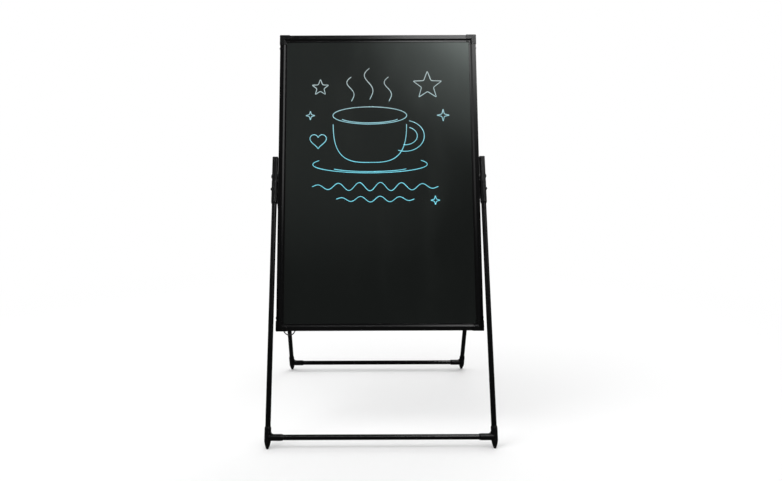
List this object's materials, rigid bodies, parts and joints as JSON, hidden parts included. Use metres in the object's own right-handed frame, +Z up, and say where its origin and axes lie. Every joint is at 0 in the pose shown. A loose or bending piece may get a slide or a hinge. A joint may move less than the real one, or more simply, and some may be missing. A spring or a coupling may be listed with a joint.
{
  "type": "led writing board",
  "caption": "Floor-standing edge-lit writing board: a framed dark panel that tilts on side pivots between the legs of a folding tube stand with tee feet.",
  "frame": {"origin": "on the floor at the middle of the four feet", "axes": "+Z up, +X to the right of someone who faces the writing panel, -Y towards that person"},
  "size_m": [0.647, 0.6322, 1.1533],
  "materials": {
    "tube_black": "semi-gloss black powder coat",
    "joint_plastic": "fine grained black moulding",
    "rail_black": "satin black anodised extrusion",
    "corner_plastic": "fine grained black moulding",
    "panel_clear": "polished clear sheet that looks black over its backing",
    "sheet_black": "plain black sheet",
    "back_grey": "dark grey stippled sheet",
    "strip_white": "white flexible circuit",
    "led_clear": "light chips",
    "screw_black": "black oxide steel",
    "zinc_steel": "zinc plated steel",
    "washer_rubber": "black rubber",
    "box_plastic": "black moulding",
    "circuit_green": "green circuit board",
    "switch_grey": "dark moulded switch",
    "inlet_black": "black socket",
    "button_grey": "grey soft-touch button",
    "lead_black": "black flexible lead"
  },
  "bodies": {
    "front_legs": {"front_leg_left": "tube_black", "front_leg_right": "tube_black", "front_crossbar": "tube_black", "front_foot_left": "joint_plastic", "front_foot_right": "joint_plastic", "front_hinge_left": "joint_plastic", "front_hinge_right": "joint_plastic", "fold_pins": "zinc_steel", "front_leg_screws": "screw_black"},
    "rear_legs": {"rear_leg_left": "tube_black", "rear_leg_right": "tube_black", "rear_crossbar": "tube_black", "rear_foot_left": "joint_plastic", "rear_foot_right": "joint_plastic", "rear_hinge_left": "joint_plastic", "rear_hinge_right": "joint_plastic", "rear_leg_screws": "screw_black"},
    "board": {"top_rail": "rail_black", "bottom_rail": "rail_black", "left_rail": "rail_black", "right_rail": "rail_black", "corner_top_left": "corner_plastic", "corner_top_right": "corner_plastic", "corner_bottom_left": "corner_plastic", "corner_bottom_right": "corner_plastic", "writing_panel": "panel_clear", "black_sheet": "sheet_black", "back_panel": "back_grey", "led_strip_top": "strip_white", "led_strip_bottom": "strip_white", "led_chips_top": "led_clear", "led_chips_bottom": "led_clear", "side_screws": "screw_black", "rear_screws": "screw_black", "pivot_nut_left": "zinc_steel", "pivot_nut_right": "zinc_steel", "pivot_bolt_left": "screw_black", "pivot_bolt_right": "screw_black", "pivot_washers": "washer_rubber", "control_base": "box_plastic", "control_cover": "box_plastic", "control_circuit": "circuit_green", "button_switches": "switch_grey", "power_inlet": "inlet_black", "control_screws": "screw_black", "box_gland": "lead_black", "frame_gland": "lead_black", "lead": "lead_black"},
    "power_button": {"power_button": "button_grey"},
    "mode_button": {"mode_button": "button_grey"},
    "brightness_button": {"brightness_button": "button_grey"}
  },
  "joints": [
    {"name": "rear_leg_fold", "type": "hinge", "parent": "front_legs", "child": "rear_legs", "pos_m": [0, 0, 0.76635], "axis": [1, 0, 0], "range_deg": [-43, 0]},
    {"name": "board_tilt", "type": "hinge", "parent": "front_legs", "child": "board", "pos_m": [0, -0.02718, 0.726], "axis": [1, 0, 0], "range_deg": [-33, 16.5]},
    {"name": "power_button_press", "type": "slide", "parent": "board", "child": "power_button", "axis": [0, -0.9588, 0.284], "range_m": [0, 0.0012], "stiffness_N_per_m": 1200},
    {"name": "mode_button_press", "type": "slide", "parent": "board", "child": "mode_button", "axis": [0, -0.9588, 0.284], "range_m": [0, 0.0012], "stiffness_N_per_m": 1200},
    {"name": "brightness_button_press", "type": "slide", "parent": "board", "child": "brightness_button", "axis": [0, -0.9588, 0.284], "range_m": [0, 0.0012], "stiffness_N_per_m": 1200}
  ]
}
